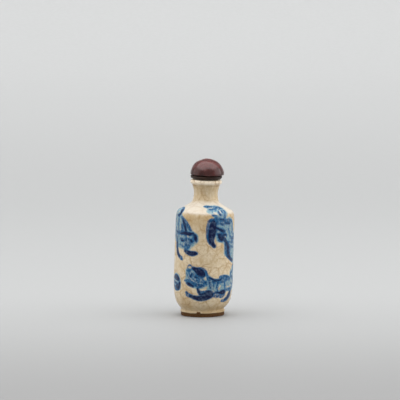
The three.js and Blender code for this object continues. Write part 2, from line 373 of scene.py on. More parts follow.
# The picture is drawn on the unrolled body, in millimetres: (across, up, half width of the brush). Across
# is 0 at the front and grows to the right, and up is the travel along the outline. A wash is a closed
# outline, (across, up). Lions at play with a brocade ball are a common old pattern, drawn here as plain
# generic beasts.
CROUCHING_LION = {
    "wash": [
        [(-9.6, 24.8), (-6.6, 25.4), (-3.8, 23.4), (0.8, 23.4), (2.8, 21.4), (3.1, 17.6), (1.4, 15.9),
         (-2.2, 15.5), (-5.4, 16.0), (-9.2, 18.0), (-10.4, 19.2), (-9.4, 21.0)],
        [(1.8, 22.4), (4.8, 20.6), (8.0, 20.4), (10.2, 22.2), (13.4, 22.2), (16.2, 21.6), (17.4, 24.4),
         (20.6, 26.8), (24.4, 28.0), (27.8, 26.8), (26.2, 25.0), (28.6, 23.0), (26.0, 21.0), (25.4, 17.6),
         (27.4, 13.4), (27.4, 9.6), (24.6, 8.6), (23.8, 10.6), (24.6, 12.8), (22.4, 14.2), (19.4, 13.8),
         (13.8, 13.8), (8.6, 14.0), (4.6, 14.6), (1.8, 15.8)],
    ],
    "tone": [
        [(-8.8, 26.2, 0.35), (-8.0, 27.1, 0.4), (-6.7, 27.0, 0.4), (-6.2, 26.0, 0.4), (-6.8, 25.0, 0.4),
         (-8.2, 25.0, 0.4), (-8.8, 25.8, 0.3)],
        [(-9.0, 24.3, 0.5), (-7.4, 24.2, 0.6)],
        [(-2.6, 26.0, 0.5), (-0.4, 25.6, 0.7), (1.1, 24.2, 0.7), (1.9, 22.4, 0.6), (2.4, 20.2, 0.6)],
        [(-9.3, 23.0, 0.25), (-8.2, 21.2, 0.35), (-6.4, 19.5, 0.35), (-4.4, 18.2, 0.4)],
        [(-8.0, 23.2, 0.3), (-6.8, 21.6, 0.5), (-5.0, 19.9, 0.4), (-2.6, 18.4, 0.4)],
        [(-10.4, 19.0, 0.4), (-8.6, 19.2, 0.6), (-6.4, 18.7, 0.5), (-4.8, 17.4, 0.7)],
        [(-4.6, 17.4, 0.7), (-2.4, 16.9, 1.1), (-0.4, 16.8, 0.8)],
        [(-5.6, 22.8, 0.7), (-4.2, 21.8, 0.8), (-2.2, 21.0, 0.9), (-0.4, 21.2, 0.5)],
        [(-3.8, 19.8, 0.4), (-1.6, 19.2, 0.5), (0.2, 18.4, 0.5), (1.8, 17.8, 0.4)],
        [(-0.8, 20.6, 0.3), (0.4, 19.4, 0.4), (0.9, 18.8, 0.3)],
        [(3.2, 20.2, 0.6), (3.4, 18.0, 0.7), (3.9, 16.0, 0.6)],
        [(5.2, 19.0, 0.9), (7.4, 18.8, 1.0), (9.2, 19.2, 1.1)],
        [(5.4, 17.8, 0.4), (5.6, 16.2, 0.4)],
        [(7.6, 18.0, 0.5), (7.4, 16.2, 0.6), (7.9, 14.8, 0.6)],
        [(10.2, 19.0, 0.9), (12.4, 19.6, 0.9), (14.6, 20.2, 0.8), (16.8, 20.0, 0.5)],
        [(11.9, 19.0, 0.6), (12.4, 17.2, 0.5), (12.9, 15.0, 0.6)],
        [(9.4, 21.2, 1.0), (11.6, 21.2, 1.2), (14.0, 20.9, 0.9), (16.6, 20.4, 0.4)],
        [(5.8, 12.9, 0.6), (7.2, 13.4, 0.8), (9.0, 13.2, 0.6)],
        [(5.4, 11.8, 0.5), (7.2, 11.4, 0.8), (8.8, 11.6, 0.9), (10.6, 11.4, 1.1), (12.2, 12.0, 0.9)],
        [(13.8, 14.6, 0.5), (16.6, 14.7, 0.8), (19.2, 15.2, 0.7), (21.4, 15.8, 0.4)],
        [(-2.2, 13.6, 0.9), (-0.4, 13.2, 1.1), (1.6, 14.0, 0.7)],
        [(-9.5, 12.7, 0.6), (-8.6, 11.8, 1.1), (-6.8, 11.3, 1.0)],
        [(18.4, 14.0, 1.0), (17.2, 11.8, 1.7), (15.2, 9.9, 1.4), (13.0, 8.9, 1.0), (11.4, 8.8, 0.7)],
        [(18.0, 21.4, 0.8), (20.4, 20.0, 0.9), (21.6, 17.4, 0.8)],
        [(17.4, 22.9, 0.5), (19.2, 23.4, 0.6), (22.0, 25.0, 0.5), (25.6, 25.8, 0.4)],
        [(21.4, 22.4, 0.4), (24.0, 23.6, 0.5), (26.6, 23.2, 0.3)],
        [(17.8, 17.6, 0.3), (20.2, 17.0, 0.5), (22.4, 17.6, 0.3)],
    ],
    "dark": [
        [(-5.5, 25.7, 0.8), (-4.0, 25.1, 1.2), (-2.4, 24.1, 1.9), (-0.9, 23.1, 1.8), (-0.4, 22.6, 1.3)],
        [(-6.8, 21.5, 0.6), (-6.2, 22.9, 0.3)],
        [(-4.4, 21.3, 0.5), (-3.4, 21.0, 0.4)],
        [(-9.0, 17.9, 0.5), (-7.6, 17.4, 0.9), (-5.4, 16.4, 0.6)],
        [(1.0, 18.8, 0.4), (1.5, 18.9, 0.35)],
        [(-1.0, 17.4, 0.3), (0.2, 16.9, 0.3)],
        [(2.9, 21.3, 0.4), (4.6, 20.5, 0.5), (6.4, 19.9, 0.5), (8.4, 19.8, 0.5), (9.8, 20.2, 0.4)],
        [(11.4, 21.8, 0.2), (13.6, 21.5, 0.3), (15.6, 20.9, 0.2)],
        [(-2.9, 15.3, 0.5), (-2.2, 13.8, 0.6), (-1.6, 12.6, 0.7)],
        [(-1.2, 12.3, 0.6), (1.0, 12.8, 1.0), (3.0, 13.2, 1.5), (3.9, 12.4, 1.7), (2.8, 11.5, 1.4)],
        [(-7.0, 11.2, 0.7), (-4.6, 10.6, 1.0), (-2.0, 10.2, 1.3), (0.4, 10.5, 1.4), (3.2, 11.2, 1.1)],
        [(-9.2, 13.0, 0.4), (-8.6, 12.6, 0.4)],
        [(7.2, 13.5, 0.3), (9.2, 13.2, 0.6), (10.8, 13.4, 1.2), (12.2, 13.5, 1.1)],
        [(17.6, 13.4, 0.6), (16.8, 11.8, 0.9), (15.4, 10.2, 0.7), (13.8, 9.4, 0.4)],
        [(25.0, 20.4, 0.4), (25.0, 17.2, 0.6), (26.2, 14.2, 0.7), (26.6, 11.6, 0.8), (25.4, 9.6, 0.6)],
        [(19.6, 26.2, 0.3), (22.0, 27.2, 0.4), (24.6, 27.6, 0.4), (26.8, 26.8, 0.3)],
    ],
    "bare": [
        [(-8.4, 21.6, 0.15), (-6.6, 20.0, 0.2), (-5.0, 19.0, 0.15)],
        [(0.9, 21.0, 0.45), (1.1, 20.2, 0.4)],
        [(0.9, 15.4, 0.4), (2.0, 16.3, 0.3)],
        [(8.6, 15.2, 0.5), (9.4, 16.8, 0.35)],
        [(14.6, 16.2, 0.3), (16.6, 16.0, 0.3)],
    ],
}
DIVING_LION = {
    "wash": [
        [(-25.0, 56.6), (-21.0, 57.8), (-17.2, 56.8), (-14.6, 54.8), (-14.6, 52.6), (-10.2, 49.4),
         (-7.2, 45.2), (-3.8, 43.0), (-3.6, 39.4), (-6.6, 36.8), (-8.6, 34.8), (-12.4, 35.4),
         (-16.0, 36.0), (-18.4, 38.0), (-22.0, 40.0), (-25.6, 44.0), (-26.6, 50.0)],
        [(-25.4, 50.8), (-28.0, 53.4), (-30.6, 57.4), (-33.4, 58.2), (-33.0, 55.6), (-34.8, 53.6),
         (-32.2, 51.8), (-32.4, 49.6), (-28.6, 48.2), (-25.8, 48.6)],
        [(-25.6, 46.4), (-29.0, 43.8), (-30.4, 40.0), (-28.8, 36.4), (-30.8, 33.6), (-27.6, 33.0),
         (-25.2, 36.0), (-24.4, 41.0)],
    ],
    "tone": [
        [(-23.0, 57.2, 0.5), (-19.0, 57.2, 0.6), (-16.6, 56.0, 0.6)],
        [(-13.8, 51.2, 0.8), (-11.2, 49.2, 1.1), (-9.2, 47.0, 1.1), (-7.6, 45.2, 0.8)],
        [(-19.0, 52.2, 0.6), (-16.4, 51.6, 0.6)],
        [(-19.6, 43.6, 0.7), (-16.6, 43.2, 1.0), (-13.4, 43.4, 1.2), (-11.0, 43.6, 1.0)],
        [(-13.6, 47.4, 0.8), (-13.2, 45.4, 0.9), (-12.8, 44.0, 0.6)],
        [(-15.0, 40.4, 0.4), (-13.2, 39.8, 1.1), (-11.2, 39.6, 0.8)],
        [(-10.8, 42.0, 0.6), (-10.2, 39.4, 0.8), (-10.4, 37.2, 0.8)],
        [(-8.8, 40.8, 0.6), (-8.2, 38.6, 1.0), (-8.8, 36.6, 0.9), (-10.6, 35.2, 0.8)],
        [(-6.4, 43.0, 0.4), (-6.0, 41.6, 0.6), (-6.6, 39.9, 1.1), (-8.6, 39.6, 0.7)],
        [(-19.8, 45.6, 0.5), (-19.0, 43.2, 0.6), (-18.6, 40.8, 0.8), (-17.8, 38.4, 1.2),
         (-17.6, 35.6, 1.3), (-17.0, 33.4, 1.2), (-15.4, 31.4, 1.1), (-13.6, 30.4, 1.1),
         (-12.6, 29.9, 0.7)],
        [(-16.6, 50.2, 0.4), (-17.0, 47.0, 0.5), (-16.4, 44.4, 0.4)],
        [(-14.8, 37.4, 0.4), (-12.8, 36.6, 0.5), (-11.2, 36.2, 0.5)],
        [(-20.4, 50.0, 0.5), (-22.6, 47.0, 0.7), (-22.8, 43.4, 0.6)],
        [(-26.4, 50.6, 0.4), (-29.2, 53.4, 0.5), (-31.6, 56.8, 0.3)],
        [(-27.0, 49.6, 0.4), (-30.4, 51.0, 0.5), (-33.4, 53.4, 0.3)],
        [(-26.4, 45.2, 0.6), (-27.8, 41.4, 0.8), (-27.2, 37.4, 0.7), (-28.4, 34.4, 0.5)],
    ],
    "dark": [
        [(-18.2, 55.9, 0.35), (-16.6, 55.4, 0.7), (-15.7, 54.4, 0.8), (-15.8, 53.2, 0.7),
         (-16.8, 52.3, 0.5), (-18.4, 51.9, 0.3)],
        [(-13.2, 50.4, 0.5), (-12.2, 48.6, 0.8), (-11.4, 46.6, 0.8), (-10.6, 44.8, 0.7)],
        [(-15.4, 42.9, 0.2), (-13.4, 43.1, 0.5), (-11.2, 43.3, 0.9), (-8.4, 43.2, 1.0), (-6.2, 43.7, 0.5)],
        [(-6.0, 43.6, 0.3), (-5.0, 42.4, 0.8), (-4.7, 41.0, 0.9), (-4.3, 39.7, 0.4)],
        [(-7.4, 40.0, 0.7), (-6.6, 39.7, 0.6)],
        [(-13.6, 39.4, 0.5), (-12.0, 39.4, 0.4)],
        [(-17.4, 38.0, 0.5), (-17.3, 34.6, 0.7), (-16.6, 32.7, 0.9), (-15.2, 31.3, 0.7)],
        [(-10.8, 34.4, 0.5), (-9.2, 33.8, 1.0), (-7.0, 33.3, 1.2), (-5.2, 33.4, 1.1), (-4.0, 33.5, 0.6)],
        [(-25.4, 49.6, 0.4), (-25.6, 46.0, 0.5), (-23.8, 42.6, 0.5), (-21.4, 40.8, 0.5)],
        [(-29.2, 43.4, 0.3), (-30.0, 39.8, 0.5), (-28.8, 36.4, 0.6), (-30.2, 33.8, 0.4)],
        [(-28.6, 54.4, 0.2), (-30.6, 57.2, 0.4), (-33.0, 57.8, 0.3)],
    ],
    "bare": [
        [(-14.9, 48.6, 0.2), (-14.8, 46.6, 0.25)],
        [(-9.4, 42.1, 0.35), (-8.8, 41.7, 0.3)],
        [(-18.8, 54.2, 0.3), (-17.6, 53.9, 0.3)],
    ],
}
LEAPING_LION = {
    "wash": [
        [(0.9, 56.4), (1.4, 58.6), (-1.6, 60.2), (0.6, 61.2), (4.0, 60.9), (9.0, 61.0), (12.8, 60.0),
         (15.0, 58.2), (14.4, 55.8), (12.6, 52.6), (8.6, 52.6), (6.6, 54.8), (3.4, 54.4), (1.6, 55.0)],
        [(4.6, 53.4), (10.0, 52.6), (12.4, 51.6), (15.0, 52.0), (18.0, 50.2), (19.4, 46.6), (21.0, 43.8),
         (24.0, 42.0), (25.6, 38.0), (24.4, 33.4), (21.0, 28.0), (17.4, 29.4), (14.0, 31.4), (11.4, 33.2),
         (11.0, 38.6), (6.4, 40.4), (6.2, 47.0), (5.6, 50.6)],
        [(24.8, 40.8), (27.2, 42.2), (29.2, 45.2), (31.4, 45.8), (30.8, 43.4), (32.2, 41.2), (30.0, 39.9),
         (30.2, 37.8), (27.6, 37.2), (25.2, 38.2)],
        [(23.4, 32.4), (24.4, 30.0), (28.2, 29.8), (29.4, 31.4), (27.4, 33.0), (25.0, 34.6)],
    ],
    "tone": [
        [(-0.9, 60.3, 0.5), (1.2, 60.1, 0.9), (3.4, 59.9, 0.9), (5.4, 60.2, 0.5)],
        [(2.6, 57.6, 0.5), (4.4, 58.1, 0.6), (6.4, 58.2, 0.5)],
        [(7.2, 59.8, 0.6), (9.4, 59.4, 0.9), (12.0, 59.4, 0.7)],
        [(6.6, 57.0, 0.5), (7.8, 58.4, 0.5), (9.0, 59.0, 0.5)],
        [(10.2, 58.0, 0.4), (12.0, 58.6, 0.5), (13.6, 58.2, 0.4)],
        [(11.4, 56.6, 0.6), (10.4, 55.2, 0.6)],
        [(13.0, 57.0, 0.5), (12.6, 55.2, 0.7), (11.6, 53.2, 0.7), (11.2, 52.0, 0.7)],
        [(3.8, 53.4, 0.5), (5.4, 53.2, 0.7), (6.2, 52.0, 0.7), (6.6, 50.4, 0.8), (7.0, 48.8, 0.6)],
        [(2.0, 50.2, 0.8), (3.4, 51.0, 0.8), (5.4, 51.2, 0.7)],
        [(1.5, 48.6, 0.6), (1.3, 45.0, 0.7), (1.6, 41.2, 0.6), (2.6, 38.8, 0.5)],
        [(7.8, 51.2, 0.9), (9.6, 50.8, 1.1), (11.2, 50.6, 0.7)],
        [(8.2, 49.2, 0.6), (10.0, 48.6, 0.8), (11.4, 48.6, 0.6)],
        [(12.0, 50.3, 1.0), (14.0, 50.2, 1.2), (16.0, 49.8, 1.0)],
        [(16.8, 50.4, 0.5), (18.0, 48.6, 0.5), (18.2, 46.4, 0.6), (18.6, 44.6, 0.5)],
        [(6.6, 46.6, 0.8), (9.0, 45.8, 0.9), (11.4, 45.0, 0.8)],
        [(7.0, 43.6, 0.8), (9.0, 43.4, 1.2), (11.2, 43.2, 1.1), (12.8, 42.6, 0.7)],
        [(8.0, 40.6, 0.8), (9.8, 40.2, 0.9)],
        [(13.6, 46.2, 0.3), (14.8, 45.0, 0.4), (15.0, 43.4, 0.3)],
        [(15.6, 42.2, 0.5), (17.4, 41.0, 0.9), (19.8, 40.8, 1.0), (22.4, 41.0, 0.6)],
        [(15.4, 39.2, 0.4), (17.8, 38.9, 0.8), (20.4, 39.0, 0.6)],
        [(17.4, 44.0, 0.3), (19.4, 43.0, 0.5), (21.8, 42.4, 0.4)],
        [(16.8, 37.0, 0.5), (18.4, 36.2, 0.6), (20.4, 36.0, 0.4)],
        [(11.9, 38.4, 0.7), (12.2, 35.4, 0.7), (13.0, 32.6, 0.7), (15.6, 30.6, 0.7), (18.6, 29.0, 0.7)],
        [(14.0, 39.0, 0.9), (15.2, 36.4, 1.0), (15.4, 33.6, 1.0)],
        [(25.6, 40.2, 0.4), (28.0, 41.6, 0.5), (30.2, 44.8, 0.3)],
        [(26.2, 38.6, 0.4), (28.6, 39.3, 0.5), (31.2, 41.0, 0.3)],
    ],
    "dark": [
        [(8.6, 56.0, 0.3), (8.2, 55.0, 0.4), (8.3, 54.1, 0.5), (8.7, 53.4, 0.4)],
        [(4.3, 49.8, 1.3), (4.1, 47.4, 2.0), (4.0, 45.0, 2.2), (3.5, 42.4, 1.8), (3.4, 40.2, 1.4),
         (4.2, 38.7, 1.1), (5.2, 37.4, 0.8)],
        [(6.0, 47.0, 0.6), (7.8, 46.2, 0.6), (9.6, 45.2, 0.7), (11.0, 44.9, 0.6)],
        [(7.6, 43.2, 0.7), (8.8, 42.0, 1.5), (9.8, 41.2, 1.3), (11.4, 41.4, 0.9)],
        [(10.6, 43.1, 0.6), (12.2, 43.2, 0.5)],
        [(11.4, 40.6, 0.8), (13.0, 38.6, 1.0), (14.0, 36.4, 1.1), (14.0, 34.0, 1.0), (15.2, 31.8, 0.9),
         (17.0, 30.3, 0.8), (19.6, 29.2, 0.6)],
        [(11.4, 49.4, 0.4), (13.2, 49.0, 0.5), (15.2, 48.7, 0.4)],
        [(8.4, 51.2, 0.4), (10.4, 51.0, 0.5)],
        [(6.0, 50.0, 0.3), (6.2, 48.4, 0.3)],
        [(24.0, 42.4, 0.3), (25.8, 39.4, 0.6), (25.2, 35.6, 0.7), (23.8, 32.4, 0.6), (25.2, 30.4, 0.6),
         (27.8, 30.6, 0.5)],
        [(27.2, 42.4, 0.2), (29.0, 44.9, 0.4), (31.2, 45.6, 0.3)],
    ],
    "bare": [
        [(11.7, 42.2, 0.35), (12.2, 41.9, 0.3)],
        [(9.3, 54.6, 0.25), (9.6, 56.8, 0.3)],
        [(2.0, 59.2, 0.2), (4.4, 59.1, 0.25)],
        [(5.0, 55.2, 0.4), (6.4, 54.9, 0.4)],
    ],
}
BROCADE_BALL = {
    "wash": [
        [(-22.2, 18.0), (-20.6, 20.8), (-17.6, 21.9), (-14.6, 20.8), (-13.4, 17.6), (-14.0, 14.2),
         (-17.0, 13.2), (-21.2, 14.0)],
    ],
    "tone": [
        [(-21.6, 15.2, 0.7), (-19.4, 14.6, 0.9), (-17.0, 14.0, 0.7)],
        [(-21.4, 19.4, 0.6), (-19.8, 20.4, 0.8), (-18.0, 21.2, 0.5)],
        [(-17.8, 16.8, 0.7), (-16.4, 16.6, 0.8)],
        [(-22.2, 16.4, 0.3), (-24.0, 14.8, 0.5), (-25.6, 15.4, 0.5), (-26.8, 17.2, 0.3)],
        [(-22.2, 18.8, 0.3), (-23.8, 20.6, 0.5), (-25.6, 20.4, 0.4), (-26.8, 22.0, 0.3)],
    ],
    "dark": [
        [(-19.6, 19.9, 0.9), (-17.4, 19.9, 1.5), (-15.6, 19.4, 1.2), (-14.8, 18.9, 0.7)],
        [(-14.0, 17.6, 0.5), (-14.5, 16.4, 1.0), (-15.2, 15.4, 1.4), (-17.2, 15.2, 1.1)],
        [(-22.3, 17.6, 0.3), (-21.6, 15.2, 0.3), (-19.6, 13.7, 0.3), (-16.8, 13.5, 0.3),
         (-14.8, 14.0, 0.4)],
        [(-20.6, 17.6, 0.3), (-19.0, 17.0, 0.4), (-17.8, 16.8, 0.3)],
    ],
    "bare": [[(-19.2, 18.2, 0.05), (-16.8, 17.8, 0.1), (-15.0, 17.9, 0.05)]],
}


def moved(beast, across, up, size=1.0):
    """The same beast painted again elsewhere, for the back of the bottle."""
    return {
        layer: [[(x * size + across, y * size + up, *(w * size for w in width)) for x, y, *width in stroke]
                for stroke in strokes]
        for layer, strokes in beast.items()
    }


def smooth_route(points, closed):
    """A smooth curve through given points, as short straight steps."""
    points = np.array(points, float)
    if closed:
        padded = np.vstack([points[-1:], points, points[:2]])
    else:
        padded = np.vstack([2 * points[0] - points[1], points, 2 * points[-1] - points[-2]])
    steps = np.linspace(0, 1, ROUTE_STEPS, endpoint=False)[:, None]
    spans = []
    for a, b, c, d in zip(padded[:-3], padded[1:-2], padded[2:-1], padded[3:]):
        spans.append(0.5 * (2 * b + (c - a) * steps + (2 * a - 5 * b + 4 * c - d) * steps**2
                            + (3 * b - 3 * c + d - a) * steps**3))
    end = points[:1] if closed else points[-1:]
    return np.vstack([*spans, end])


def edge_distance(places, squeeze, points, closed):
    """How far each place lies from the edge of a brushstroke or a wash, negative where there is paint."""
    route = smooth_route(points, closed)
    across = (places[:, 0] - route[0, 0] + HALF_ROUND) % (2 * HALF_ROUND) - HALF_ROUND
    reach = np.full(len(places), FAR)
    widest = 0 if closed else route[:, 2].max()
    low, high = route.min(axis=0) - widest - FAR, route.max(axis=0) + widest + FAR
    near = (across > low[0] - route[0, 0]) & (across < high[0] - route[0, 0])
    near &= (places[:, 1] > low[1]) & (places[:, 1] < high[1])
    x, y, narrow = across[near] * squeeze[near], places[near, 1], squeeze[near]
    best, inside = np.full(len(x), FAR), np.zeros(len(x), bool)
    for start, end in zip(route[:-1], route[1:]):
        ax, bx = (start[0] - route[0, 0]) * narrow, (end[0] - route[0, 0]) * narrow
        ay, by = start[1], end[1]
        length = (bx - ax) ** 2 + (by - ay) ** 2 + NO_LENGTH
        share = np.clip(((x - ax) * (bx - ax) + (y - ay) * (by - ay)) / length, 0, 1)
        away = np.hypot(x - ax - share * (bx - ax), y - ay - share * (by - ay))
        if closed:
            if ay != by:
                crosses = (ay > y) != (by > y)
                inside ^= crosses & (x < ax + (y - ay) / (by - ay) * (bx - ax))
        else:
            away = away - start[2] - share * (end[2] - start[2])
        best = np.minimum(best, away)
    reach[near] = np.where(inside, -best, best)
    return reach


def paint(obj):
    """Keeps on the bottle's points how far each lies from a layer's edge of paint, in millimetres."""
    x, y, _ = coordinates(obj).T
    travel = np.zeros(len(x), np.float32)
    obj.data.attributes["travel"].data.foreach_get("value", travel)
    places = np.stack([np.arctan2(x, -y) * HALF_ROUND / math.pi, travel], axis=1)
    squeeze = np.hypot(x, y) / MM * math.pi / HALF_ROUND
    beasts = [
        CROUCHING_LION, DIVING_LION, LEAPING_LION, BROCADE_BALL,
        moved(CROUCHING_LION, across=41.0, up=1.5, size=0.9), moved(DIVING_LION, across=63.5, up=0.0),
    ]
    for layer in ("wash", "tone", "dark", "bare"):
        field = np.full(len(x), FAR)
        for beast in beasts:
            for stroke in beast[layer]:
                field = np.minimum(field, edge_distance(places, squeeze, stroke, layer == "wash"))
        kept = obj.data.attributes.new(layer, "FLOAT", "POINT")
        kept.data.foreach_set("value", field.astype(np.float32))
    notch = NOTCH_RISE * (abs(places[:, 0] - NOTCH_ACROSS) < NOTCH_HALF)
    edge = obj.data.attributes.new("glazed", "FLOAT", "POINT")
    edge.data.foreach_set("value", (travel - GLAZE_LINE - notch).astype(np.float32))


def upright_box(node):
    """The lowest and highest corner of a stopper piece, in metres, as if the bottle stood straight."""
    points = np.array([v.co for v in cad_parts[node].data.vertices], float)
    _, axis, _ = lean_at(LEAN_END)
    back = np.array(Matrix.Rotation(-LEAN, 3, "Y"))
    upright = (points - (axis, 0, LEAN_END)) @ back.T + (0, 0, LEAN_END)
    return Vector(upright.min(axis=0)), Vector(upright.max(axis=0))


def turned_piece(name, rings, segments, centre_x=0.0):
    """A solid of revolution by hand: a filled circle, extruded up to each further (radius, height)."""
    radius, height = rings[0]
    bpy.ops.object.select_all(action="DESELECT")
    bpy.ops.mesh.primitive_circle_add(vertices=segments, radius=radius, fill_type="NGON")
    obj = bpy.context.object
    obj.name = obj.data.name = name
    edit(obj)
    bpy.ops.mesh.select_all(action="SELECT")
    bpy.ops.transform.translate(value=(centre_x, 0, height))
    for next_radius, next_height in rings[1:]:
        rise = (0, 0, next_height - height)
        bpy.ops.mesh.extrude_region_move(TRANSFORM_OT_translate={"value": rise})
        grow = next_radius / radius
        middle = (centre_x, 0, next_height)
        bpy.ops.transform.resize(value=(grow, grow, 1), center_override=middle)
        radius, height = next_radius, next_height
    bpy.ops.mesh.select_all(action="SELECT")
    bpy.ops.mesh.normals_make_consistent(inside=False)
    bpy.ops.object.mode_set(mode="OBJECT")
    return obj


def soften(obj, width, segments, corner):
    """Rounds every edge sharper than the corner angle, and shades the rest smooth."""
    only(obj)
    bevel = obj.modifiers.new("Polish", "BEVEL")
    bevel.width = width
    bevel.segments = segments
    bevel.limit_method = "ANGLE"
    bevel.angle_limit = corner
    bpy.ops.object.modifier_apply(modifier=bevel.name)
    bpy.ops.object.shade_smooth_by_angle(angle=SMOOTH_SHADED)


def roughen(obj, amount, size, seed):
    """Moves each point in by a soft noise, as hand work does, but leaves the foot flat on the ground."""
    normals = np.zeros(len(obj.data.vertices) * 3, np.float32)
    obj.data.vertices.foreach_get("normal", normals)
    normals = normals.reshape(-1, 3).astype(float)
    points = coordinates(obj)
    places = points / size + seed
    lift = np.array([min(noise.noise(Vector(p)) - 0.5, 0) for p in places])
    lift *= amount * np.clip(points[:, 2] / LEAN_START, 0, 1)
    set_coordinates(obj, points + normals * lift[:, None])


def join_inputs(tree, node, inputs):
    """Sets or links a node's inputs, in order or by name. A node stands for its first output."""
    chosen = inputs if isinstance(inputs, dict) else dict(enumerate(inputs))
    for key, value in chosen.items():
        if isinstance(value, bpy.types.Node):
            value = value.outputs[0]
        if isinstance(value, bpy.types.NodeSocket):
            tree.links.new(value, node.inputs[key])
        else:
            node.inputs[key].default_value = value


def add_node(tree, kind, inputs=(), **settings):
    """Adds one shader node with its settings and its links."""
    node = tree.nodes.new(kind)
    for name, value in settings.items():
        setattr(node, name, value)
    join_inputs(tree, node, inputs)
    return node


def new_material(name, ior, roughness, shine=0.5):
    """An empty material with one Principled shader, and the place of each point in the piece."""
    material = bpy.data.materials.new(name)
    material.use_nodes = True
    tree = material.node_tree
    tree.nodes.clear()
    finish = {"IOR": ior, "Roughness": roughness, "Specular IOR Level": shine}
    shader = add_node(tree, "ShaderNodeBsdfPrincipled", finish)
    add_node(tree, "ShaderNodeOutputMaterial", {"Surface": shader})
    place = add_node(tree, "ShaderNodeTexCoord").outputs["Object"]
    return material, tree, shader, place


def per_mm(size_mm):
    """The scale of a pattern whose cells are size_mm across, in a piece measured in metres."""
    return 1 / (size_mm * MM)


def coat(tree, ground, colour, *amounts):
    """Lays a colour over the ground, as thickly as its amounts multiplied together."""
    thickness = amounts[0]
    for amount in amounts[1:]:
        thickness = add_node(tree, "ShaderNodeMath", (thickness, amount), operation="MULTIPLY")
    layers = {MIX_AMOUNT: thickness, MIX_BELOW: ground, MIX_ABOVE: colour}
    return add_node(tree, "ShaderNodeMix", layers, data_type="RGBA").outputs[MIX_COLOUR]


def patches(tree, place, size_mm, between, gives=(0.0, 1.0), detail=3.0, roughness=0.5):
    """Soft patches of the given size, where noise steps smoothly from one value to another."""
    lumps = add_node(
        tree, "ShaderNodeTexNoise",
        {"Vector": place, "Scale": per_mm(size_mm), "Detail": detail, "Roughness": roughness},
    )
    return add_node(tree, "ShaderNodeMapRange", (lumps, *between, *gives), interpolation_type="SMOOTHSTEP")


def zone(tree, between, gives=(0.0, 1.0)):
    """How strongly a finish shows on the bottle, as its travel goes from one place to another."""
    travel = add_node(tree, "ShaderNodeAttribute", attribute_name="travel").outputs["Fac"]
    return add_node(tree, "ShaderNodeMapRange", (travel, *between, *gives), interpolation_type="SMOOTHSTEP")


def stretch(tree, low_end, high_end, strength=1.0):
    """A stretch of the bottle. Each end is the travel where it has faded out, and where it is full."""
    ends = (zone(tree, low_end), zone(tree, high_end, gives=(0.0, strength)))
    return add_node(tree, "ShaderNodeMath", ends, operation="MULTIPLY")


def band(tree, middle, half_width, core, strength):
    """A soft band round the bottle, at full strength within its core."""
    travel = add_node(tree, "ShaderNodeAttribute", attribute_name="travel").outputs["Fac"]
    above = add_node(tree, "ShaderNodeMath", (travel, middle), operation="SUBTRACT")
    away = add_node(tree, "ShaderNodeMath", (above,), operation="ABSOLUTE")
    fade = (away, half_width, core, 0.0, strength)
    return add_node(tree, "ShaderNodeMapRange", fade, interpolation_type="SMOOTHSTEP")


def grade(tree, place, axis, between, gives=(0.0, 1.0)):
    """A smooth change along one axis of the piece."""
    along = add_node(tree, "ShaderNodeSeparateXYZ", {"Vector": place}).outputs[axis]
    return add_node(tree, "ShaderNodeMapRange", (along, *between, *gives), interpolation_type="SMOOTHSTEP")


def wandering(tree, place, size_mm, reach_mm):
    """How far an edge wanders to either side of its line, in millimetres."""
    lumps = add_node(tree, "ShaderNodeTexNoise", {"Vector": place, "Scale": per_mm(size_mm), "Detail": 3.0})
    return add_node(tree, "ShaderNodeMath", (lumps, reach_mm, -reach_mm / 2), operation="MULTIPLY_ADD")


def ragged_edge(tree, name, wander, between, gives=(0.0, 1.0)):
    """The wandering edge of a layer. The bottle's points hold how far they lie from it, in millimetres."""
    distance = add_node(tree, "ShaderNodeAttribute", attribute_name=name).outputs["Fac"]
    ragged = add_node(tree, "ShaderNodeMath", (distance, wander), operation="ADD")
    return add_node(tree, "ShaderNodeMapRange", (ragged, *between, *gives), interpolation_type="SMOOTHSTEP")


def crackle_edges(tree, place, cell_mm):
    """Distance in millimetres to the nearest hairline of a crackle whose cells drift out of line."""
    drift_size, drift_reach = 2.5 * cell_mm, 1.6 * cell_mm
    drift = add_node(
        tree, "ShaderNodeTexNoise", {"Vector": place, "Scale": per_mm(drift_size), "Detail": 2.0},
    )
    either_way = add_node(
        tree, "ShaderNodeVectorMath", (drift.outputs["Color"], (0.5, 0.5, 0.5)), operation="SUBTRACT",
    )
    pull = add_node(
        tree, "ShaderNodeVectorMath", {0: either_way, "Scale": drift_reach * MM}, operation="SCALE",
    )
    drifted = add_node(tree, "ShaderNodeVectorMath", (place, pull), operation="ADD")
    cells = add_node(
        tree, "ShaderNodeTexVoronoi", {"Vector": drifted, "Scale": per_mm(cell_mm), "Randomness": 1.0},
        feature="DISTANCE_TO_EDGE",
    )
    return add_node(tree, "ShaderNodeMath", (cells, cell_mm), operation="MULTIPLY")


